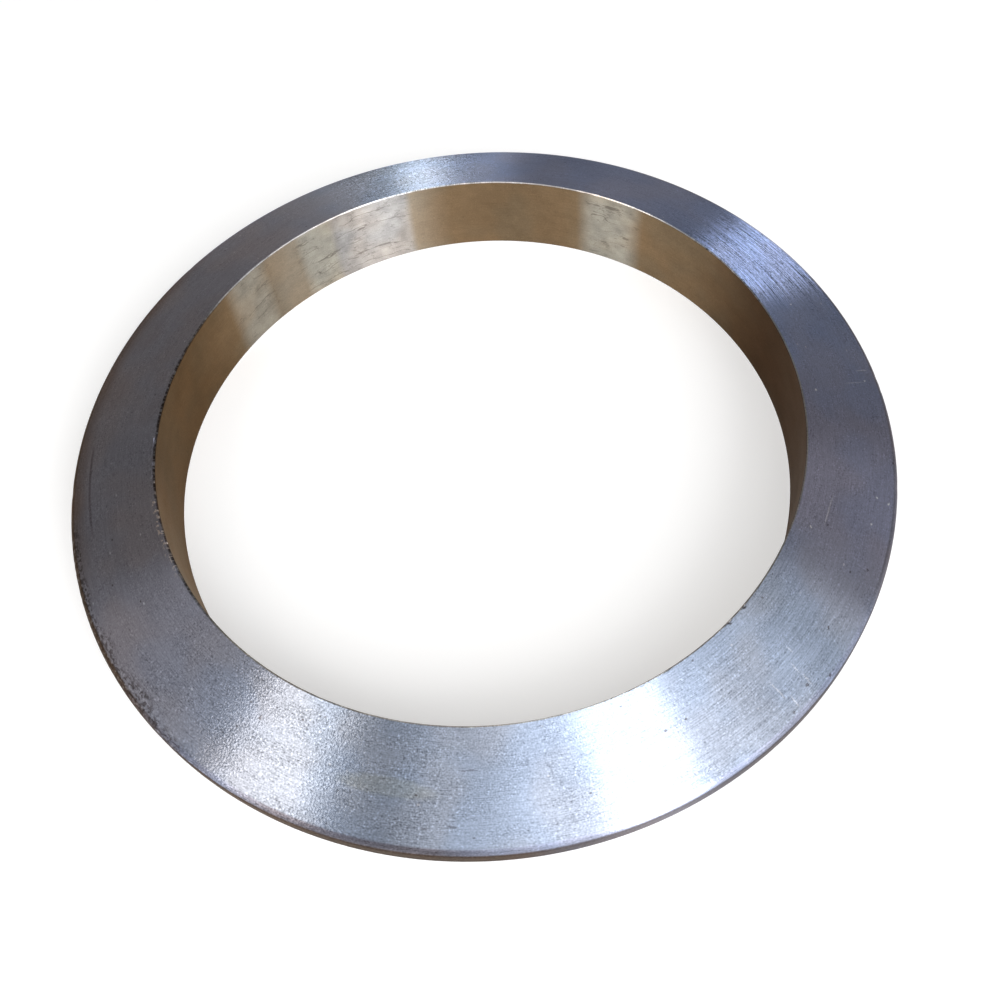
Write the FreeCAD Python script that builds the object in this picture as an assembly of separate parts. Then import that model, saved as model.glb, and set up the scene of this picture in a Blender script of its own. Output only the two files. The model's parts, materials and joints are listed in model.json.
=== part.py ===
import FreeCAD, Part
import math
import os

# Exhaust flange ring, one turned steel piece. Sizes are in millimetres.
# The axis is Z. The ring stands on the end of its pilot at Z = 0, clamp cone up,
# and the origin is on the axis in that plane.

# Tube side: the ring slips over the exhaust tube and is welded to it.
tube_diameter = 127.0       # 5 in exhaust tube
tube_slip = 0.5             # on the diameter

# Flange section
flange_width = 18.5         # from the bore to the outside of the rim
cone_slope_deg = 20.0       # clamp cone, up from the flat towards the bore
rim_height = 3.7            # mating face to the sharp corner of rim and cone
rim_round = 1.6             # radius turned on that corner
rim_break = 0.4             # chamfer between the rim and the mating face
lip_break = 0.3             # narrow flat on the sharp edge where the cone meets the bore

# Pilot below the mating face, which centres the next flange
pilot_length = 9.4
pilot_wall = 4.0
pilot_lead = 1.0            # lead-in chamfer on its outer end
pilot_root_round = 0.8      # radius in the corner with the mating face
bore_break = 0.3            # chamfer at the bore's lower end

# Worked out from the sizes above
bore_radius = (tube_diameter + tube_slip) / 2
rim_radius = bore_radius + flange_width
pilot_radius = bore_radius + pilot_wall
mating_z = pilot_length
corner_z = mating_z + rim_height
cone_rise = flange_width * math.tan(math.radians(cone_slope_deg))
top_z = corner_z + cone_rise


def section_point(radius, height):
    """Point of the half section, which lies in the XZ plane."""
    return FreeCAD.Vector(radius, 0, height)


def setback_points(before, corner, after, setback):
    """Points on the corner's two sides, a setback away from it."""
    start = corner + (before - corner).normalize() * setback
    end = corner + (after - corner).normalize() * setback
    return start, end


def chamfer(size):
    """Corner finish: a flat that takes the same off both sides."""
    def finish(before, corner, after):
        start, end = setback_points(before, corner, after, size)
        return start, Part.LineSegment(start, end), end
    return finish


def fillet(radius):
    """Corner finish: an arc tangent to both sides."""
    def finish(before, corner, after):
        half_angle = (before - corner).getAngle(after - corner) / 2
        start, end = setback_points(before, corner, after, radius / math.tan(half_angle))
        inward = ((start + end) / 2 - corner).normalize()
        middle = corner + inward * (radius / math.sin(half_angle) - radius)
        return start, Part.Arc(start, middle, end), end
    return finish


def flange_section():
    """Half section: each corner with its finish, anticlockwise from the bore's lower end."""
    corners = [
        (section_point(bore_radius, 0), chamfer(bore_break)),
        (section_point(pilot_radius, 0), chamfer(pilot_lead)),
        (section_point(pilot_radius, mating_z), fillet(pilot_root_round)),
        (section_point(rim_radius, mating_z), chamfer(rim_break)),
        (section_point(rim_radius, corner_z), fillet(rim_round)),
        (section_point(bore_radius, top_z), chamfer(lip_break)),
    ]
    finished = []
    for index, (corner, finish) in enumerate(corners):
        before = corners[index - 1][0]
        after = corners[(index + 1) % len(corners)][0]
        finished.append(finish(before, corner, after))
    edges = []
    for index, (start, curve, end) in enumerate(finished):
        previous_end = finished[index - 1][2]
        edges.append(Part.LineSegment(previous_end, start).toShape())
        edges.append(curve.toShape())
    return Part.Face(Part.Wire(edges))


def flange_ring():
    """The whole flange: its section turned once round the axis."""
    axis_point = FreeCAD.Vector(0, 0, 0)
    axis_direction = FreeCAD.Vector(0, 0, 1)
    return flange_section().revolve(axis_point, axis_direction, 360)


os.makedirs("parts", exist_ok=True)
flange_ring().exportStep("parts/flange_ring.step")
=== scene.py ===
import json
import math

import bpy
import numpy as np
from mathutils import Matrix, Vector


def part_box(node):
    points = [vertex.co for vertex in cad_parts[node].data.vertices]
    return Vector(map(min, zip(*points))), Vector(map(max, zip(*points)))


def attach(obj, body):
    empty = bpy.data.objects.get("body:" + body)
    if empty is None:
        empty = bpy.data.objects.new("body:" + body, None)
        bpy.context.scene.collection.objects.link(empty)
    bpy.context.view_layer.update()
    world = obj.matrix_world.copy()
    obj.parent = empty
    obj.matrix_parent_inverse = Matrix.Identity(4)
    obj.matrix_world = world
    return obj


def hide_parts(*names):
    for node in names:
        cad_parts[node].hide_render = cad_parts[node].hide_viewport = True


# A turned steel exhaust flange ring on a plain white floor. Lengths are in metres.
# The ring's axis is Z. It stands on its pilot at Z = 0 with the clamp cone up.
# Azimuths are in degrees about Z, from +X towards +Y, and the camera looks from -Y.

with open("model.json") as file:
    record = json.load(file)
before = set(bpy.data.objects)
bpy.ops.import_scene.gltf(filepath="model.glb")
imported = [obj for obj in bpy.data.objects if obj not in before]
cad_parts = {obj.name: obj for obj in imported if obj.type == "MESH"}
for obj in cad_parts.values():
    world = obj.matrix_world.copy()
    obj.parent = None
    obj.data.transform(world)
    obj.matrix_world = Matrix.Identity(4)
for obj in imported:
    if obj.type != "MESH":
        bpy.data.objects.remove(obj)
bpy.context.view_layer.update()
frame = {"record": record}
record = frame["record"]

SEED = 4127
MM = 0.001


def direction(azimuth, elevation=0.0):
    a, e = math.radians(azimuth), math.radians(elevation)
    return np.array((math.cos(a) * math.cos(e), math.sin(a) * math.cos(e), math.sin(e)))


# ---- Camera

CAMERA_PLACE = (8.753 * MM, -121.609 * MM, 190.941 * MM)
CAMERA_RIGHT = (0.9979, -0.0527, -0.0389)
CAMERA_UP = (0.0655, 0.8026, 0.5930)
CAMERA_LENS = 38.104
CAMERA_SENSOR = 36.0
CAMERA_SHIFT = (-0.02172, -0.11738)
CAMERA_CLIP = (0.01, 20.0)


def make_camera():
    data = bpy.data.cameras.new("photo_camera")
    data.lens = CAMERA_LENS
    data.sensor_width = CAMERA_SENSOR
    data.shift_x, data.shift_y = CAMERA_SHIFT
    data.clip_start, data.clip_end = CAMERA_CLIP
    camera = bpy.data.objects.new("photo_camera", data)
    bpy.context.scene.collection.objects.link(camera)
    right = Vector(CAMERA_RIGHT).normalized()
    back = right.cross(Vector(CAMERA_UP)).normalized()
    up = back.cross(right)
    turn = Matrix((right, up, back)).transposed().to_4x4()
    camera.matrix_world = Matrix.Translation(CAMERA_PLACE) @ turn
    bpy.context.scene.camera = camera


# ---- Section of the ring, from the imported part's mounts and box

def mount(name):
    return next(m for m in record["mounts"] if m["name"] == name)


BORE_R = mount("tube_bore")["dims"]["r_mm"] * MM
PILOT_R = mount("pilot")["dims"]["r_mm"] * MM
MATING_Z = mount("mating_face")["pos_m"][2]
CORNER_Z = mount("clamp_cone")["pos_m"][2]
RIM_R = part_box("flange_ring")[1].x
CONE_SLOPE = math.radians(20)
APEX_Z = CORNER_Z + (RIM_R - BORE_R) * math.tan(CONE_SLOPE)
MEAN_R = (BORE_R + RIM_R) / 2

LIP_FLAT = 0.3 * MM
RIM_ROUND = 1.6 * MM
RIM_BREAK = 0.4 * MM
PILOT_LEAD = 1.0 * MM
PILOT_ROOT = 0.8 * MM
BORE_BREAK = 0.3 * MM

# Points along the lip, the pilot's root and the rim's round, and points on each side between the
# section's corners: pilot's end, pilot, mating face, rim, cone and bore
LIP_POINTS = 5
ROOT_POINTS = 5
ROUND_POINTS = 10
BETWEEN = (0, 1, 1, 2, 20, 14)
SHARP_ANGLE = math.radians(17)

# Columns of the mesh round the ring are closer together where the bore's edge is ragged.
AROUND = 1400
RAGGED_FROM, RAGGED_TO = 148.0, 217.0
RAGGED_SHARE = 0.33

# The bore's edge has a ragged burr on the left, small bites that are mostly in the burr, and two
# nicks in front. Bites and nicks widen the lip down the cone and the bore, and cut into it. A bite's
# sizes are in millimetres.
BURR_AZIMUTH = 188.0
BURR_WIDTH = 45 * MM
OUTSIDE_BURR = 0.3
CONE_SIDE_WAVES, CONE_SIDE_SWING = (20, 90), 0.35
BORE_SIDE_WAVES, BORE_SIDE_SWING = (30, 110), 0.4
BITES = 46
BITE_STRENGTH = 0.3
BITES_IN_BURR = 0.8
BURR_SECTOR = (164, 212)
BURR_BITE_WIDTH = (0.7, 2.0)
OTHER_BITE_WIDTH = (0.3, 1.1)
BITE_DOWN_CONE = (0.05, 0.45)
BITE_DOWN_BORE = (-0.1, 0.55)
BITE_DEPTH = (0.0, 0.05)
LIP_NICKS = (-46.1, -49.6)
NICK_WIDTH = 0.4 * MM
NICK_DOWN_CONE = 0.45 * MM
NICK_DEPTH = 0.2 * MM
LEAST_LIP = 0.06 * MM
INTO_LIP = math.radians(35)
DEPTH_SHARES = ((1, 0.7), (2, 1.0), (3, 0.7))

# Dents on the rim's round: azimuth, spread, count. Their widths and depths are in millimetres.
DENTS = ((-148, 12, 16), (-46, 3, 3), (20, 120, 9))
DENT_WIDTH = (0.3, 1.2)
DENT_DEPTH = (0.02, 0.08)
DENT_RADIUS, DENT_RADIUS_WIDTH = 81.9 * MM, 0.45 * MM
DENT_HEIGHT, DENT_HEIGHT_WIDTH = 12.9 * MM, 0.7 * MM

# Shallow waves of the turned cone, and the heights between which they fade in and out
TURNING_WAVES = (3, 40)
TURNING_DEPTH = 0.006 * MM
WAVES_FROM, WAVES_FADE_IN = 13.6 * MM, 0.6 * MM
WAVES_TO, WAVES_FADE_OUT = 19.5 * MM, 0.5 * MM
WAVES_OFF_LIP = 0.1 * MM


def on_cone(azimuth, radius):
    """Place on the clamp cone, from a radius in millimetres."""
    place = direction(azimuth) * radius * MM
    place[2] = CORNER_Z + (RIM_R - radius * MM) * math.tan(CONE_SLOPE)
    return place


def column_angles():
    """Azimuths of the mesh's columns, in radians."""
    ragged = int(AROUND * RAGGED_SHARE)
    fine = np.linspace(RAGGED_FROM, RAGGED_TO, ragged, endpoint=False)
    plain = np.linspace(RAGGED_TO, RAGGED_FROM + 360, AROUND - ragged, endpoint=False)
    return np.radians(np.concatenate((fine, plain)))


ANGLES = column_angles()


def waves(rng, first, last):
    """A closed random curve round the ring, between about -1 and 1."""
    total = np.zeros(AROUND)
    for k in range(first, last + 1):
        total += rng.normal() * np.cos(k * ANGLES + rng.uniform(0, 2 * math.pi))
    return total / np.abs(total).max()


def bump_at(azimuth, width, radius):
    """1 at that azimuth, falling to 0 over about that width along the circle."""
    away = np.angle(np.exp(1j * (ANGLES - math.radians(azimuth)))) * radius
    return np.exp(-(away / width) ** 2)


def toward(start, end, length):
    run = end - start
    return start + run / np.linalg.norm(run, axis=-1, keepdims=True) * length


def chamfer(before, corner, after, sizes, steps):
    start = toward(corner, before, sizes[0])
    end = toward(corner, after, sizes[1])
    return [start + (end - start) * s for s in np.linspace(0, 1, steps)]


def rounded(before, corner, after, radius, steps):
    a = (before - corner) / np.linalg.norm(before - corner)
    b = (after - corner) / np.linalg.norm(after - corner)
    half = math.acos(float(a @ b)) / 2
    centre = corner + (a + b) / np.linalg.norm(a + b) * radius / math.sin(half)
    start = corner + a * radius / math.tan(half) - centre
    end = corner + b * radius / math.tan(half) - centre
    sweep = math.atan2(start[0] * end[1] - start[1] * end[0], float(start @ end))
    points = []
    for s in np.linspace(0, sweep, steps):
        c, k = math.cos(s), math.sin(s)
        points.append(centre + np.array((start[0] * c - start[1] * k, start[0] * k + start[1] * c)))
    return points


def lip_sizes(rng):
    """For each column, how far the lip reaches down the cone and down the bore, and its depth."""
    ragged = OUTSIDE_BURR + (1.0 - OUTSIDE_BURR) * bump_at(BURR_AZIMUTH, BURR_WIDTH, BORE_R)
    cone_side = 1.0 + CONE_SIDE_SWING * ragged * np.abs(waves(rng, *CONE_SIDE_WAVES))
    bore_side = 1.0 + BORE_SIDE_SWING * ragged * waves(rng, *BORE_SIDE_WAVES)
    cone_side, bore_side = LIP_FLAT * cone_side, LIP_FLAT * bore_side
    depth = np.zeros(AROUND)
    for _ in range(BITES):
        burr = rng.uniform() < BITES_IN_BURR
        azimuth = rng.uniform(*(BURR_SECTOR if burr else (0, 360)))
        width = rng.uniform(*(BURR_BITE_WIDTH if burr else OTHER_BITE_WIDTH)) * MM
        near = BITE_STRENGTH * bump_at(azimuth, width, BORE_R)
        cone_side += near * rng.uniform(*BITE_DOWN_CONE) * MM
        bore_side += near * rng.uniform(*BITE_DOWN_BORE) * MM
        depth += near * rng.uniform(*BITE_DEPTH) * MM
    for azimuth in LIP_NICKS:
        near = bump_at(azimuth, NICK_WIDTH, BORE_R)
        cone_side += near * NICK_DOWN_CONE
        depth += near * NICK_DEPTH
    return cone_side, np.maximum(bore_side, LEAST_LIP), depth


def section_rows(rng):
    """The section's points, one row for each point round it and one column for each azimuth."""
    bore_low = np.array((BORE_R, 0.0))
    end_out = np.array((PILOT_R, 0.0))
    root = np.array((PILOT_R, MATING_Z))
    rim_low = np.array((RIM_R, MATING_Z))
    rim_top = np.array((RIM_R, CORNER_Z))
    apex = np.array((BORE_R, APEX_Z))
    cone_side, bore_side, depth = lip_sizes(rng)
    lip = chamfer(rim_top, apex, bore_low, (cone_side[:, None], bore_side[:, None]), LIP_POINTS)
    inward = np.array((math.sin(INTO_LIP), -math.cos(INTO_LIP)))
    for point, share in DEPTH_SHARES:
        lip[point] = lip[point] + depth[:, None] * share * inward
    corners = [
        chamfer(apex, bore_low, end_out, (BORE_BREAK, BORE_BREAK), 2),
        chamfer(bore_low, end_out, root, (PILOT_LEAD, PILOT_LEAD), 2),
        rounded(end_out, root, rim_low, PILOT_ROOT, ROOT_POINTS),
        chamfer(root, rim_low, rim_top, (RIM_BREAK, RIM_BREAK), 2),
        rounded(rim_low, rim_top, apex, RIM_ROUND, ROUND_POINTS),
        lip,
    ]
    rows = []
    for index, points in enumerate(corners):
        rows += points
        start, end = points[-1], corners[(index + 1) % len(corners)][0]
        for s in np.linspace(0, math.pi, BETWEEN[index] + 2)[1:-1]:
            rows.append(start + (end - start) * (1 - math.cos(s)) / 2)
    return np.stack([np.broadcast_to(row, (AROUND, 2)) for row in rows])


def worn(rows, rng):
    """Dents on the rim's round and very shallow waves of the turning on the cone."""
    r, z = rows[..., 0].copy(), rows[..., 1].copy()
    off_radius = (r - DENT_RADIUS) / DENT_RADIUS_WIDTH
    off_height = (z - DENT_HEIGHT) / DENT_HEIGHT_WIDTH
    on_round = np.exp(-(off_radius**2 + off_height**2))
    for azimuth, spread, count in DENTS:
        for _ in range(count):
            near = bump_at(rng.normal(azimuth, spread), rng.uniform(*DENT_WIDTH) * MM, RIM_R)
            depth = rng.uniform(*DENT_DEPTH) * MM
            r -= on_round * near * depth
            z -= on_round * near * depth
    fade_in = np.clip((z - WAVES_FROM) / WAVES_FADE_IN, 0, 1)
    fade_out = np.clip((WAVES_TO - z) / WAVES_FADE_OUT, 0, 1)
    on_face = fade_in * fade_out * (r > BORE_R + WAVES_OFF_LIP)
    ripple = 0.5 + 0.5 * waves(rng, *TURNING_WAVES)
    z -= on_face * ripple * TURNING_DEPTH
    return r, z


def make_ring(material):
    rng = np.random.default_rng(SEED)
    r, z = worn(section_rows(rng), rng)
    verts = np.stack((r * np.cos(ANGLES), r * np.sin(ANGLES), z), -1).reshape(-1, 3)
    i, j = np.meshgrid(np.arange(len(r)), np.arange(AROUND), indexing="ij")
    i2, j2 = (i + 1) % len(r), (j + 1) % AROUND
    faces = np.stack((i * AROUND + j, i * AROUND + j2, i2 * AROUND + j2, i2 * AROUND + j), -1)
    mesh = bpy.data.meshes.new("ring")
    mesh.from_pydata(verts.tolist(), [], faces.reshape(-1, 4).tolist())
    mesh.validate()
    mesh.shade_smooth()
    mesh.set_sharp_from_angle(angle=SHARP_ANGLE)
    mesh.materials.append(material)
    ring = bpy.data.objects.new("ring", mesh)
    bpy.context.scene.collection.objects.link(ring)
    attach(ring, "root")
    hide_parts("flange_ring")


# ---- Materials

class Graph:
    """Short calls for the nodes of one material."""

    def __init__(self, name):
        self.material = bpy.data.materials.new(name)
        self.material.use_nodes = True
        self.tree = self.material.node_tree
        self.bsdf = self.tree.nodes["Principled BSDF"]

    def feed(self, socket, value):
        if isinstance(value, bpy.types.NodeSocket):
            self.tree.links.new(value, socket)
        else:
            socket.default_value = value

    def node(self, kind, values=(), **settings):
        node = self.tree.nodes.new("ShaderNode" + kind)
        for key, value in settings.items():
            setattr(node, key, value)
        for key, value in dict(values).items():
            self.feed(node.inputs[key], value)
        return node

    def math(self, operation, *values, clamp=False):
        return self.node("Math", enumerate(values), operation=operation, use_clamp=clamp).outputs[0]

    def vector(self, operation, *values):
        node = self.node("VectorMath", enumerate(values), operation=operation)
        return node.outputs[1 if operation in ("LENGTH", "DISTANCE", "DOT_PRODUCT") else 0]

    def scaled(self, vector, factor):
        return self.node("VectorMath", {0: vector, "Scale": factor}, operation="SCALE").outputs[0]

    def step(self, value, low, high, start=0.0, end=1.0):
        """Goes smoothly from start to end while value goes from low to high."""
        values = {0: value, 1: low, 2: high, 3: start, 4: end}
        return self.node("MapRange", values, interpolation_type="SMOOTHSTEP").outputs[0]

    def blend(self, share, a, b):
        return self.node("Mix", {0: share, 6: a, 7: b}, data_type="RGBA").outputs[2]

    def noise(self, place, detail=2.0, roughness=0.5, distortion=0.0):
        values = {"Vector": place, "Scale": 1.0, "Detail": detail, "Roughness": roughness}
        return self.node("TexNoise", {**values, "Distortion": distortion}).outputs[0]


class RingGraph(Graph):
    """A graph whose patterns run round the ring and depend only on the object's own place."""

    def __init__(self, name):
        super().__init__(name)
        self.place = self.node("TexCoord").outputs["Object"]
        flat = self.vector("MULTIPLY", self.place, (1.0, 1.0, 0.0))
        self.radius = self.vector("LENGTH", flat)
        self.facing = self.vector("NORMALIZE", flat)
        self.height = self.node("SeparateXYZ", {0: self.place}).outputs[2]
        self.run = self.math("SUBTRACT", self.radius, self.height)

    def around(self, length, width, shift=0.0):
        """Place for a pattern whose features are that long round the ring and that wide across."""
        across = self.math("MULTIPLY_ADD", self.run, 1 / width, shift)
        lift = self.node("CombineXYZ", {2: across}).outputs[0]
        return self.vector("ADD", self.scaled(self.facing, MEAN_R / length), lift)

    def pattern(self, name):
        length, width, shift, detail, roughness = PATTERNS[name]
        return self.noise(self.around(length, width, shift), detail, roughness)

    def cloud(self, name):
        return self.noise(self.scaled(self.place, CLOUDS[name]), detail=1.0)

    def sector(self, name):
        """1 within the inner half-width of the named sector, 0 beyond the outer one."""
        azimuth, inner, outer = SECTORS[name]
        near = self.vector("DOT_PRODUCT", self.facing, tuple(direction(azimuth)))
        return self.step(near, math.cos(math.radians(outer)), math.cos(math.radians(inner)))

    def fade(self, value, limits, start=1.0, end=0.0):
        """The start value below both limits and the end value above them."""
        return self.step(value, *limits, start, end)

    def band(self, value, centre, half, soft):
        """1 within half of the centre, 0 beyond half and soft."""
        away = self.math("ABSOLUTE", self.math("SUBTRACT", value, centre))
        return self.step(away, half, half + soft, 1.0, 0.0)

    def dots(self, length, width, shift, size, share):
        """Two kinds of scattered dots. Each kind is that share of the cells."""
        cells = self.node("TexVoronoi", {"Vector": self.around(length, width, shift), "Scale": 1.0})
        key = self.node("SeparateXYZ", {0: cells.outputs["Color"]}).outputs[0]
        disc = self.step(cells.outputs["Distance"], 0.5 * size, size, 1.0, 0.0)
        first = self.product(disc, self.step(key, 1.0 - share, 1.0 + KEY_SOFT - share))
        second = self.product(disc, self.step(key, share - KEY_SOFT, share, 1.0, 0.0))
        return first, second

    def product(self, *values):
        total = values[0]
        for value in values[1:]:
            total = self.math("MULTIPLY", total, value)
        return total

    def union(self, *masks):
        total = masks[0]
        for mask in masks[1:]:
            total = self.math("MAXIMUM", total, mask)
        return total

    def without(self, mask):
        return self.math("SUBTRACT", 1.0, mask)

    def centred(self, pattern):
        """How far the pattern is from the middle grey."""
        return self.math("SUBTRACT", pattern, 0.5)

    def plus(self, value, pattern, factor):
        return self.math("MULTIPLY_ADD", pattern, factor, value)

    def total(self, value, terms):
        """The value plus each term's factor times its centred pattern."""
        for pattern, factor in terms:
            value = self.plus(value, self.centred(pattern), factor)
        return value


# Colours of the cone, the bore, the lip between them, the rim's round and its upright land
CONE = (0.375, 0.435, 0.545, 1)
# Painted reflection: the cone's right and rear tints stand for the bluish light it mirrors there,
# and the left tint is partly the steel's own brown tone and partly a painted reflection of a brown
# room.
CONE_RIGHT_PAINTED_REFLECTION = (0.40, 0.405, 0.53, 1)
CONE_LEFT_PAINTED_REFLECTION = (0.355, 0.335, 0.365, 1)
CONE_REAR_PAINTED_REFLECTION = (0.33, 0.385, 0.56, 1)
EDGE_BROWN = (0.22, 0.15, 0.11, 1)
# The streak's colour also serves as painted shade at the rear of the cone.
STREAK_AND_SHADE = (0.11, 0.08, 0.085, 1)
STAIN = (0.39, 0.43, 0.46, 1)
# The bore's brown is a painted reflection of a warm brown surface under the ring.
BORE_PAINTED_REFLECTION = (0.235, 0.165, 0.095, 1)
# Painted highlights on the bore: a pale upright band and dimmer ones where the lamps' reflections
# fall.
BORE_PAINTED_HIGHLIGHT = (0.345, 0.33, 0.312, 1)
BORE_DIM_PAINTED_HIGHLIGHT = (0.385, 0.36, 0.30, 1)
# Painted shade: the bore darker towards its right and left ends.
BORE_RIGHT_PAINTED_SHADE = (0.062, 0.032, 0.015, 1)
BORE_LEFT_PAINTED_SHADE = (0.135, 0.083, 0.040, 1)
BORE_FOOT = (0.20, 0.10, 0.04, 1)
LIP = (0.44, 0.43, 0.41, 1)
# Painted highlight: the lip's bright line at the rear, where it mirrors the lamps.
LIP_PAINTED_HIGHLIGHT = (0.85, 0.83, 0.80, 1)
BURR = (0.15, 0.12, 0.115, 1)
CREAM = (0.98, 0.83, 0.70, 1)
ROUND = (0.36, 0.40, 0.53, 1)
ROUND_DARK = (0.13, 0.09, 0.065, 1)
# Painted reflection: the upright land's dark brown mirrors a warm surface below it, greyer on the
# right.
LAND_PAINTED_REFLECTION = (0.105, 0.078, 0.062, 1)
LAND_RIGHT_PAINTED_REFLECTION = (0.13, 0.125, 0.14, 1)
DIRT = (0.06, 0.042, 0.032, 1)
# Painted glints: white for bright dots, specks, scratches and the rough edge.
PAINTED_GLINT = (0.95, 0.95, 0.97, 1)
WARM = (1.04, 1.00, 0.98, 1)
COOL = (0.97, 0.99, 1.03, 1)

CONE_ROUGH = 0.33
BORE_ROUGH = 0.34
ANISOTROPY = 1.0
GROOVE_TURN = 0.25
GRAZING_TINT = (0.68, 0.64, 0.60, 1)
RELIEF = 0.03 * MM

STREAK_AZIMUTH = -172.2
STREAK_SLANT = 3.15 * MM

# Sectors of the ring that differ from the rest, in degrees: azimuth, half-width, half-width with
# its soft edges. The first ones set how strong the patterns are, and the others set colours.
SECTORS = {
    "calm_left": (180, 28, 54),
    "calm_rear_right": (68, 14, 30),
    "calm_rear_left": (134, 14, 26),
    "calm_right": (-5, 22, 44),
    "calm_front": (-71, 5, 9),
    "rough_edge": (-148, 12, 24),
    "rear_band": (101, 7, 17),
    "right_band": (31, 7, 13),
    "lively_front": (-119, 10, 28),
    "lined_front": (-52, 8, 20),
    "cone_left": (174, 36, 70),
    "cone_right": (2, 24, 44),
    "cone_rear": (48, 22, 60),
    "edge_brown": (172, 16, 36),
    "streak": (STREAK_AZIMUTH, 5, 9),
    "rear_painted_shade": (62, 12, 26),
    "stained": (176, 14, 28),
    "bore_painted_highlight": (112.4, 7.4, 9.6),
    "bore_dim_highlight_right": (60, 2, 8),
    "bore_dim_highlight_left": (124.5, 2, 7),
    "bore_dim_highlight_far_left": (142.3, 0, 7),
    "bore_highlight_flank": (119, 11, 25),
    "bore_right": (-2, 12, 46),
    "bore_left": (182, 14, 38),
    "round_front": (-106, 9, 17),
    "round_right": (15, 38, 56),
    "round_left": (184, 30, 54),
    "land_right": (-52, 26, 38),
    "lip_highlight_right": (66, 16, 30),
    "lip_highlight_left": (130, 18, 28),
    "burr": (184, 16, 40),
    "seam": (188, 20, 40),
    "cream": (-160, 7, 13),
}

# Where the surface's zones fade in or out, by radius or by height
BORE_ENDS = (BORE_R + 0.02 * MM, BORE_R + 0.08 * MM)
LIP_MIDDLE, LIP_HALF, LIP_SOFT = BORE_R + 0.17 * MM, 0.08 * MM, 0.05 * MM
LAND_BEGINS = (RIM_R - 0.30 * MM, RIM_R - 0.08 * MM)
ROUND_BEGINS = (RIM_R - 1.15 * MM, RIM_R - 0.75 * MM)
UPPER_BEGINS = (CORNER_Z - 1.5 * MM, CORNER_Z - 0.8 * MM)
ROUGH_EDGE_BEGINS = (79.7 * MM, 81.2 * MM)
EDGE_BROWN_BEGINS = (77.5 * MM, 81.5 * MM)
REAR_DIMS = (76 * MM, 81 * MM)
STREAK_MIDDLE, STREAK_HALF, STREAK_SOFT = 77.95 * MM, 0.12 * MM, 0.25 * MM
FOOT_ENDS = (0.15 * MM, 0.40 * MM)
SEAM_ENDS = (BORE_R + 0.30 * MM, BORE_R + 0.55 * MM)
SEAM_BEGINS = (APEX_Z - 0.7 * MM, APEX_Z - 0.4 * MM)
CREAM_ENDS = (BORE_R + 0.1 * MM, BORE_R + 0.9 * MM)

# Noise that runs round the ring: length, width, shift, detail, roughness
PATTERNS = {
    "lines": (9 * MM, 0.26 * MM, 0.0, 0.0, 0.5),
    "dashes": (1.3 * MM, 0.24 * MM, 40.0, 1.0, 0.6),
    "stipple": (0.33 * MM, 0.36 * MM, 80.0, 0.0, 0.5),
    "patch": (9 * MM, 4 * MM, 9.0, 1.0, 0.5),
    "grit": (0.8 * MM, 0.6 * MM, 31.0, 1.0, 0.5),
    "waver": (5.5 * MM, 1.5 * MM, 57.0, 2.0, 0.5),
}
# Noise that is the same in every direction: features to the metre
CLOUDS = {"cloud": 62.0, "tint": 85.0, "blots": 330.0}
# Scattered dots: length, width and shift of their cells, size, share
DOTS = (3.0 * MM, 2.4 * MM, 23.0, 0.12, 0.15)
KEY_SOFT = 0.02

# Between which levels of a pattern each mark fades in or out
PATCH_STRENGTH, PATCH_LEAST, PATCH_MOST = (0.36, 0.60), 0.65, 1.15
STIPPLE_PITS = (0.15, 0.28)
DASH_PITS = (0.24, 0.32)
EDGE_PITS = (0.42, 0.52)
EDGE_GLINTS = (0.60, 0.70)
BRIGHT_GRAINS, GRAIN_GAIN = (0.68, 0.84), 0.30
STAINED_CLOUD = (0.46, 0.66)
BURR_GRIT, BURR_LEAST = (0.42, 0.58), 0.45
SEAM_GRIT, SEAM_GRIT_SHARES = (0.44, 0.60), (0.8, 0.1)
SEAM_PATCH, SEAM_PATCH_SHARES = (0.40, 0.58), (0.4, 1.0)
CREAM_GRIT = (0.56, 0.64)
TINT_LEVELS = (0.38, 0.62)
SPOT_EDGE = (0.30, 0.55)
STROKE_EDGE = (0.10, 0.34)
MARK_WAVER = 0.6 * MM
MARGIN_WAVER = 4 * MM

# Cracks in the bore's film: short ones where the noise is at its middle, long ones at even heights
SHORT_CRACK, SHORT_CRACK_SHARE = (0.006, 0.020), 0.6
LONG_CRACK, LONG_CRACK_SHARE = (0.08 * MM, 0.20 * MM), 0.9
LONG_CRACK_GAP = 1.9 * MM
LONG_CRACK_WAVER = 4 * MM
CRACKED_PATCH = (0.44, 0.54)
CRACKED, CRACKED_IN_BANDS = 0.10, 0.85

# Strength of the patterns
LIVELY = 0.70
LIVELY_CALM, LIVELY_FRONT, LIVELY_REAR_BAND, LIVELY_RIGHT_BAND = -0.20, 0.4, 1.4, 0.7
LIVELY_BORE = 0.45
LINED = 0.25
LINED_FRONT, LINED_RIGHT_BAND = 0.25, 2.0
LINED_BORE = 0.13
PITTED, PITTED_RIGHT_BAND = 0.42, -0.3
LIVELY_LIMIT = 0.9
BORE_BUSY = -0.45
TONE_STIPPLE, TONE_DASHES, TONE_CLOUD = 0.85, 0.75, 0.35
RIGHT_BAND_DASHES = 1.3
REAR_BAND_DIMMING = -0.28
MOTTLED, MOTTLED_IN_BANDS = 0.22, 0.55
LEAST_TONE = 0.05
ROUGH_PATCH, ROUGH_STIPPLE, ROUGH_SEAM = 0.08, -0.07, 0.25
HEIGHT_STIPPLE, HEIGHT_DASHES, HEIGHT_LINES = 0.55, 0.35, 0.28

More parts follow.
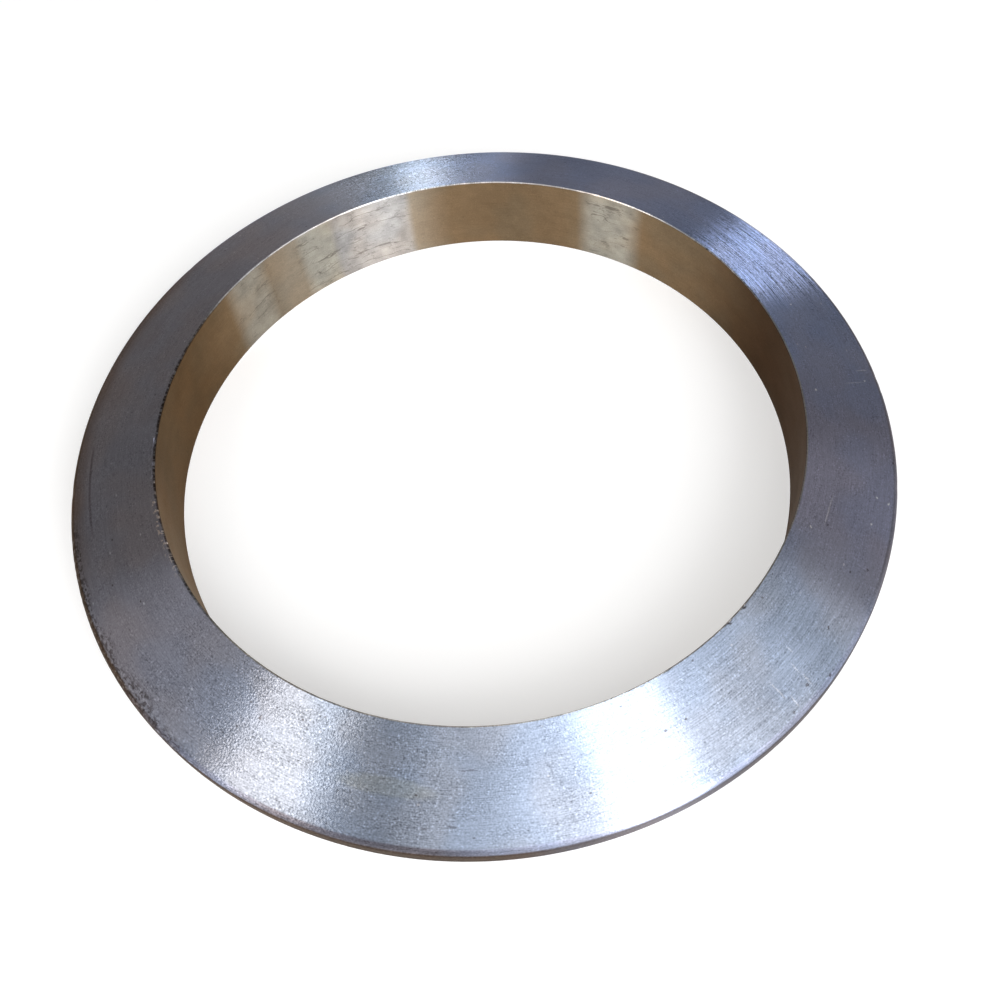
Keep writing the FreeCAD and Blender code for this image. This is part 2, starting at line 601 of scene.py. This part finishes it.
# Marks on the cone, in millimetres. Spots: azimuth, radius, size.
PITS = (
    (-47.4, 79.5, 0.8), (-51.1, 80.8, 0.55), (-44.3, 81.4, 0.7), (-39.6, 77.0, 0.6),
    (-42.8, 65.5, 0.55), (-46.1, 64.1, 0.9), (-49.6, 64.1, 1.1), (-29.0, 78.9, 0.6),
    (22.1, 65.4, 0.7), (24.5, 78.3, 0.6), (-66.5, 71.6, 0.55), (-123.0, 70.6, 0.8),
)
# Specks are real marks, painted as bright as the glints they catch.
SPECKS = (
    (-17.8, 78.0, 0.6), (-18.0, 80.4, 0.5), (-22.2, 77.6, 0.5), (-27.6, 67.1, 0.55),
    (2.6, 78.8, 0.5), (-0.7, 67.0, 0.6), (18.7, 70.8, 0.5),
)
# Scratches are real marks, painted as bright as the glints they catch.
# Strokes: azimuth, radius, length, width, turn from the direction round the ring
SCRATCHES = (
    (-47.0, 76.4, 2.0, 0.25, 87), (-46.9, 78.9, 2.6, 0.25, 84), (-50.9, 76.7, 3.6, 0.25, -85),
    (-50.1, 79.7, 2.2, 0.25, 87), (-45.7, 73.9, 1.5, 0.25, 90), (-23.2, 69.4, 7.5, 0.28, -3),
    (4.6, 79.0, 3.2, 0.28, -80), (2.0, 76.3, 4.6, 0.25, -78),
)
GOUGES = ((-95.0, 78.2, 2.0, 0.35, 0), (-98.2, 78.6, 1.2, 0.35, 2), (-93.0, 70.2, 3.0, 0.28, 0))
STAINS = ((-103.5, 73.4, 17.0, 3.0, 0),)

# How much of its colour each tint or mark gives
SHARES = {
    "calm_left": 0.75, "calm_front": 0.6, "edge_brown": 0.7, "streak": 0.5, "rear_painted_shade": 0.22,
    "stained": 0.25, "stain": 0.75, "dim_highlight_far_left": 0.75, "highlight_flank": 0.52, "foot": 0.8,
    "round_dark": 0.55, "gouges": 0.7, "bore_pits": 0.5, "pits": 0.6, "cream": 0.65,
    "bright_dots": 0.4, "edge_glints": 0.2, "scratches": 0.38, "painted_light": 0.9,
}


class TurnedSteel(RingGraph):
    """The ring's one material. Each step uses the masks and patterns of the steps before it."""

    def __init__(self):
        super().__init__("turned_steel")
        self.make_zones()
        self.make_patterns()
        self.set_strengths()
        cone = self.cone_colour()
        colour = self.joined(cone, self.bore_colour())
        colour = self.blend(self.product(self.dark_marks(), SHARES["pits"]), colour, DIRT)
        colour = self.burred(colour)
        # Painted glints on bright dots, specks, scratches and the rough edge.
        colour = self.blend(self.product(self.bright_marks(), SHARES["painted_light"]), colour, PAINTED_GLINT)
        self.feed(self.bsdf.inputs["Base Color"], self.toned(colour))
        self.finish_surface()

    def spots(self, places):
        """Round marks on the cone."""
        total = 0.0
        for azimuth, radius, size in places:
            away = self.vector("DISTANCE", self.ragged, tuple(on_cone(azimuth, radius)))
            inner, outer = (edge * size * MM for edge in SPOT_EDGE)
            total = self.step(away, inner, outer, 1.0, total)
        return total

    def strokes(self, places):
        """Long marks on the cone, turned from the direction round the ring."""
        total = 0.0
        for azimuth, radius, length, width, turn in places:
            local = self.vector("SUBTRACT", self.ragged, tuple(on_cone(azimuth, radius)))
            lengthwise = direction(azimuth + 90 + turn) / (length * MM)
            crosswise = direction(azimuth + turn) / (width * MM)
            along = self.vector("DOT_PRODUCT", local, tuple(lengthwise))
            across = self.vector("DOT_PRODUCT", local, tuple(crosswise))
            away = self.plus(self.product(across, across), along, along)
            total = self.step(away, *STROKE_EDGE, 1.0, total)
        return total

    def make_zones(self):
        self.bore = self.fade(self.radius, BORE_ENDS)
        self.lip = self.band(self.radius, LIP_MIDDLE, LIP_HALF, LIP_SOFT)
        self.land = self.step(self.radius, *LAND_BEGINS)
        self.rounding = self.step(self.radius, *ROUND_BEGINS)
        self.upper = self.step(self.height, *UPPER_BEGINS)

    def make_patterns(self):
        self.lines = self.pattern("lines")
        self.dashes = self.pattern("dashes")
        self.stipple = self.pattern("stipple")
        self.clouds = self.cloud("cloud")
        self.tint = self.cloud("tint")
        self.patch = self.pattern("patch")
        self.grit = self.pattern("grit")
        # The object's place, a little ragged, for the edges of the marks
        shift = self.plus(-MARK_WAVER / 2, self.dashes, MARK_WAVER)
        shift = self.node("CombineXYZ", {0: shift, 1: shift}).outputs[0]
        self.ragged = self.vector("ADD", self.place, shift)

    def set_strengths(self):
        """How strong the patterns are: weak where the face is nearly even, strong in four bands."""
        calm = self.product(self.sector("calm_left"), SHARES["calm_left"])
        calm = self.union(calm, self.sector("calm_rear_right"), self.sector("calm_rear_left"))
        front = self.union(self.sector("calm_right"), self.sector("calm_front"))
        calm = self.union(calm, self.product(front, SHARES["calm_front"]))
        self.margin = self.plus(self.radius, self.centred(self.patch), MARGIN_WAVER)
        rough_edge = self.step(self.margin, *ROUGH_EDGE_BEGINS)
        self.rough_edge = self.product(rough_edge, self.sector("rough_edge"))
        self.face = self.product(self.without(self.bore), self.without(self.rounding), self.upper)
        self.rear_band = self.product(self.sector("rear_band"), self.face)
        self.right_band = self.product(self.sector("right_band"), self.face)
        lively = self.plus(LIVELY, calm, LIVELY_CALM)
        lively = self.plus(lively, self.sector("lively_front"), LIVELY_FRONT)
        lively = self.plus(lively, self.rear_band, LIVELY_REAR_BAND)
        lively = self.plus(lively, self.right_band, LIVELY_RIGHT_BAND)
        patched = self.step(self.patch, *PATCH_STRENGTH, PATCH_LEAST, PATCH_MOST)
        lively = self.product(lively, patched)
        self.lively = self.step(self.bore, 0.0, 1.0, lively, LIVELY_BORE)
        lined = self.plus(LINED, self.sector("lined_front"), LINED_FRONT)
        lined = self.plus(lined, self.right_band, LINED_RIGHT_BAND)
        self.lined = self.step(self.bore, 0.0, 1.0, lined, LINED_BORE)
        self.busy = self.plus(1.0, self.bore, BORE_BUSY)

    def cone_colour(self):
        # Painted reflection: the tints of the cone's left, right and rear sectors.
        colour = self.blend(self.sector("cone_left"), CONE, CONE_LEFT_PAINTED_REFLECTION)
        colour = self.blend(self.sector("cone_right"), colour, CONE_RIGHT_PAINTED_REFLECTION)
        colour = self.blend(self.sector("cone_rear"), colour, CONE_REAR_PAINTED_REFLECTION)
        brown = self.step(self.radius, *EDGE_BROWN_BEGINS)
        brown = self.product(self.product(brown, self.sector("edge_brown")), SHARES["edge_brown"])
        colour = self.blend(brown, colour, EDGE_BROWN)
        slant = self.vector("DOT_PRODUCT", self.facing, tuple(direction(STREAK_AZIMUTH + 90)))
        swept = self.plus(self.radius, slant, STREAK_SLANT)
        streak = self.band(swept, STREAK_MIDDLE, STREAK_HALF, STREAK_SOFT)
        streak = self.product(streak, self.sector("streak"), SHARES["streak"])
        colour = self.blend(streak, colour, STREAK_AND_SHADE)
        # Painted shade: the cone's rear between its two reflected bands is darkened with the
        # streak's colour.
        dark = self.product(self.sector("rear_painted_shade"), SHARES["rear_painted_shade"])
        colour = self.blend(dark, colour, STREAK_AND_SHADE)
        stained = self.step(self.clouds, *STAINED_CLOUD)
        stained = self.product(stained, self.sector("stained"), SHARES["stained"])
        colour = self.blend(stained, colour, EDGE_BROWN)
        return self.blend(self.product(self.strokes(STAINS), SHARES["stain"]), colour, STAIN)

    def bore_colour(self):
        """Brown as a painted reflection, with painted highlights as paler upright bands and painted
        shade at both ends.
        """
        # Painted highlights: a pale band, dimmer bands and a paler flank round the pale band.
        painted_pale_band = self.sector("bore_painted_highlight")
        far_left = self.product(self.sector("bore_dim_highlight_far_left"), SHARES["dim_highlight_far_left"])
        dim_highlights = self.union(self.sector("bore_dim_highlight_right"), self.sector("bore_dim_highlight_left"), far_left)
        self.bore_bands = self.union(painted_pale_band, dim_highlights)
        highlight_flank = self.product(self.sector("bore_highlight_flank"), SHARES["highlight_flank"])
        highlight_flank = self.union(dim_highlights, highlight_flank)
        # Painted shade: the bore's right and left ends darker.
        colour = self.blend(self.sector("bore_right"), BORE_PAINTED_REFLECTION, BORE_RIGHT_PAINTED_SHADE)
        colour = self.blend(self.sector("bore_left"), colour, BORE_LEFT_PAINTED_SHADE)
        colour = self.blend(highlight_flank, colour, BORE_DIM_PAINTED_HIGHLIGHT)
        colour = self.blend(painted_pale_band, colour, BORE_PAINTED_HIGHLIGHT)
        return self.blend(self.fade(self.height, FOOT_ENDS, SHARES["foot"]), colour, BORE_FOOT)

    def joined(self, colour, bore_colour):
        """The cone's colour with the rim's round and land, the bore and the lip between them."""
        dark = self.union(self.sector("round_front"), self.sector("round_right"))
        dark = self.union(self.sector("round_left"), self.product(dark, SHARES["round_dark"]))
        colour = self.blend(self.rounding, colour, self.blend(dark, ROUND, ROUND_DARK))
        # Painted reflection on the upright land.
        land = self.blend(self.sector("land_right"), LAND_PAINTED_REFLECTION, LAND_RIGHT_PAINTED_REFLECTION)
        colour = self.blend(self.land, colour, land)
        colour = self.blend(self.bore, colour, bore_colour)
        # Painted highlight along the lip at the rear.
        painted_light = self.union(self.sector("lip_highlight_right"), self.sector("lip_highlight_left"))
        lip = self.blend(painted_light, LIP, LIP_PAINTED_HIGHLIGHT)
        burr = self.product(self.sector("burr"), self.fade(self.grit, BURR_GRIT, 1.0, BURR_LEAST))
        lip = self.blend(burr, lip, BURR)
        return self.blend(self.lip, colour, lip)

    def dark_marks(self):
        """Dark pits, gouges, and cracks in the bore's film."""
        pits = self.union(self.fade(self.stipple, STIPPLE_PITS), self.fade(self.dashes, DASH_PITS))
        pitted = self.plus(PITTED, self.right_band, PITTED_RIGHT_BAND)
        pits = self.product(pits, self.math("MINIMUM", self.lively, LIVELY_LIMIT), pitted)
        edge = self.product(self.rough_edge, self.fade(self.grit, EDGE_PITS))
        dark_dots, self.bright_dots = self.dots(*DOTS)
        gouges = self.product(self.strokes(GOUGES), self.upper, SHARES["gouges"])
        pits = self.union(pits, edge, dark_dots, self.spots(PITS), gouges)
        waver = self.pattern("waver")
        short = self.math("ABSOLUTE", self.centred(waver))
        short = self.fade(short, SHORT_CRACK, SHORT_CRACK_SHARE)
        level = self.plus(self.height, waver, LONG_CRACK_WAVER)
        level = self.math("PINGPONG", level, LONG_CRACK_GAP)
        cracks = self.union(short, self.fade(level, LONG_CRACK, LONG_CRACK_SHARE))
        cracked = self.plus(CRACKED, self.bore_bands, CRACKED_IN_BANDS)
        cracks = self.product(cracks, self.step(self.patch, *CRACKED_PATCH), cracked)
        in_bore = self.union(cracks, self.product(pits, SHARES["bore_pits"]))
        return self.blend(self.bore, pits, in_bore)

    def burred(self, colour):
        """The colour with dark and cream bits in the burr on the left of the bore's edge."""
        seam = self.fade(self.radius, SEAM_ENDS)
        raised = self.step(self.height, *SEAM_BEGINS)
        self.seam = self.product(seam, raised, self.sector("seam"))
        gritty = self.step(self.grit, *SEAM_GRIT, *SEAM_GRIT_SHARES)
        patchy = self.step(self.patch, *SEAM_PATCH, *SEAM_PATCH_SHARES)
        colour = self.blend(self.product(self.seam, gritty, patchy), colour, DIRT)
        cream = self.product(self.fade(self.margin, CREAM_ENDS), self.sector("cream"))
        cream = self.product(cream, self.step(self.grit, *CREAM_GRIT), self.without(self.bore))
        return self.blend(self.product(cream, SHARES["cream"]), colour, CREAM)

    def bright_marks(self):
        """Painted glints: bright dots and glints of the rough edge, and real specks and scratches
        painted as bright as the glints they catch.
        """
        dots = self.product(self.bright_dots, self.face, SHARES["bright_dots"])
        glints = self.step(self.grit, *EDGE_GLINTS)
        glints = self.product(self.rough_edge, glints, SHARES["edge_glints"])
        scratches = self.product(self.strokes(SCRATCHES), self.upper, SHARES["scratches"])
        return self.union(dots, glints, self.spots(SPECKS), scratches)

    def toned(self, colour):
        """The colour made lighter, darker, warmer and cooler by the patterns."""
        grains = self.step(self.stipple, *BRIGHT_GRAINS, 0.0, GRAIN_GAIN)
        tone = self.total(grains, [(self.stipple, TONE_STIPPLE), (self.dashes, TONE_DASHES)])
        tone = self.product(tone, self.lively, self.busy)
        tone = self.plus(tone, self.centred(self.grit), self.rear_band)
        banded = self.product(self.right_band, RIGHT_BAND_DASHES)
        tone = self.plus(tone, self.centred(self.dashes), banded)
        tone = self.math("ADD", tone, self.product(self.centred(self.lines), self.lined))
        dimming = self.product(self.rear_band, REAR_BAND_DIMMING)
        tone = self.plus(tone, self.step(self.radius, *REAR_DIMS), dimming)
        mottling = self.product(self.plus(MOTTLED, self.bore_bands, MOTTLED_IN_BANDS), self.bore)
        tone = self.plus(tone, self.centred(self.cloud("blots")), mottling)
        tone = self.total(self.math("ADD", tone, 1.0), [(self.clouds, TONE_CLOUD)])
        colour = self.scaled(colour, self.math("MAXIMUM", tone, LEAST_TONE))
        tint = self.blend(self.step(self.tint, *TINT_LEVELS), WARM, COOL)
        return self.vector("MULTIPLY", colour, tint)

    def finish_surface(self):
        """Metal with fine grooves round the ring, which smear each lamp's reflection."""
        rough = self.plus(CONE_ROUGH, self.bore, BORE_ROUGH - CONE_ROUGH)
        rough = self.total(rough, [(self.patch, ROUGH_PATCH), (self.stipple, ROUGH_STIPPLE)])
        rough = self.plus(rough, self.seam, ROUGH_SEAM)
        height = self.total(0.0, [(self.stipple, HEIGHT_STIPPLE), (self.dashes, HEIGHT_DASHES)])
        height = self.total(height, [(self.lines, HEIGHT_LINES)])
        relief = self.math("MINIMUM", self.lively, LIVELY_LIMIT)
        relief = self.product(relief, self.busy, RELIEF)
        bump = self.node("Bump", {"Strength": 1.0, "Distance": relief, "Height": height})
        values = {
            "Metallic": 1.0,
            "Specular Tint": GRAZING_TINT,
            "Roughness": rough,
            "Anisotropic": ANISOTROPY,
            "Anisotropic Rotation": GROOVE_TURN,
            "Tangent": self.node("Tangent", direction_type="RADIAL", axis="Z").outputs[0],
            "Normal": bump.outputs[0],
        }
        for name, value in values.items():
            self.feed(self.bsdf.inputs[name], value)


# ---- Floor: it looks white to the camera and in reflections, and keeps the ring's shadow.

FLOOR_COLOUR = (0.66, 0.66, 0.66, 1)
FLOOR_ROUGH = 0.9
FLOOR_GLOW = 0.42
FLOOR_HALF = 10.0
FLOOR_Z = -0.05 * MM


def floor_material():
    g = Graph("white_floor")
    path = g.node("LightPath")
    seen = g.math("MAXIMUM", path.outputs["Is Camera Ray"], path.outputs["Is Glossy Ray"])
    seen = g.math("MAXIMUM", seen, path.outputs["Is Transmission Ray"])
    g.feed(g.bsdf.inputs["Base Color"], FLOOR_COLOUR)
    g.feed(g.bsdf.inputs["Roughness"], FLOOR_ROUGH)
    g.feed(g.bsdf.inputs["Specular IOR Level"], 0.0)
    g.feed(g.bsdf.inputs["Emission Color"], (1, 1, 1, 1))
    g.feed(g.bsdf.inputs["Emission Strength"], g.math("MULTIPLY", seen, FLOOR_GLOW))
    return g.material


def make_floor():
    mesh = bpy.data.meshes.new("floor")
    h = FLOOR_HALF
    corners = [(-h, -h, FLOOR_Z), (h, -h, FLOOR_Z), (h, h, FLOOR_Z), (-h, h, FLOOR_Z)]
    mesh.from_pydata(corners, [], [(0, 1, 2, 3)])
    mesh.materials.append(floor_material())
    floor = bpy.data.objects.new("floor", mesh)
    bpy.context.scene.collection.objects.link(floor)


# ---- Lamps: soft boxes round the ring. Each one's long side lies in the plane in which the
# turned grooves at one azimuth of the ring mirror it, so its reflection there is a narrow fan.

LAMP_DISTANCE = 1.0
# name: groove azimuth, offset along the groove, elevation, width, height, radiance, colour
LAMPS = {
    "key": (-71, 0.168, 28, 18.0, 50, 7.0, (1, 1, 1)),
    "key_wide": (-60, 0.127, 42, 55.5, 50, 1.74, (1, 1, 1)),
    "key_side": (-60, 0.290, 34, 6.5, 36, 1.75, (1, 1, 1)),
    "right": (-42, 0.470, 34, 9.5, 36, 0.96, (1, 1, 1)),
    "right_wide": (-32, 0.53, 38, 34, 36, 0.22, (1, 1, 1)),
    "left": (-119, -0.32, 51, 14.0, 44, 2.72, (1.15, 1.04, 0.90)),
    "left_wide": (-130, -0.33, 45, 56, 40, 0.55, (0.95, 1.0, 1.08)),
    "overhead": (-90, -0.015, 62, 27, 40, 1.4, (1, 1, 1)),
    "rear": (100.2, -0.050, 16, 4.0, 20, 5.9, (1.0, 1.03, 0.98)),
    "rear_wide": (93, -0.010, 14, 10, 20, 0.85, (0.95, 1.0, 1.08)),
    "rear_right": (32, 0.403, 18, 10, 24, 2.5, (0.88, 0.98, 1.14)),
    "rear_right_wide": (28, 0.425, 18, 30, 24, 0.07, (0.88, 0.98, 1.14)),
}


def make_lamp(name, azimuth, offset, elevation, width, height, radiance, colour):
    """A soft box whose radiance is what a perfect mirror would show."""
    groove = direction(azimuth + 90)
    place = groove * offset + direction(azimuth, elevation) * math.sqrt(1 - offset**2)
    back = Vector(place).normalized()
    across = (Vector(groove) - back * back.dot(Vector(groove))).normalized()
    data = bpy.data.lights.new(name, "AREA")
    data.shape = "RECTANGLE"
    data.size = 2 * LAMP_DISTANCE * math.tan(math.radians(width / 2))
    data.size_y = 2 * LAMP_DISTANCE * math.tan(math.radians(height / 2))
    data.energy = radiance * math.pi * data.size * data.size_y
    data.color = colour
    lamp = bpy.data.objects.new(name, data)
    turn = Matrix((across, back.cross(across), back)).transposed().to_4x4()
    lamp.matrix_world = Matrix.Translation(back * LAMP_DISTANCE) @ turn
    lamp.visible_camera = False
    bpy.context.scene.collection.objects.link(lamp)


WORLD_LEVEL = 0.22


def make_world():
    world = bpy.data.worlds.new("studio")
    world.use_nodes = True
    background = world.node_tree.nodes["Background"]
    background.inputs["Color"].default_value = (1, 1, 1, 1)
    background.inputs["Strength"].default_value = WORLD_LEVEL
    bpy.context.scene.world = world


make_camera()
make_ring(TurnedSteel().material)
make_floor()
make_world()
for lamp_name, lamp in LAMPS.items():
    make_lamp(lamp_name, *lamp)

bpy.context.scene.view_settings.view_transform = "Standard"
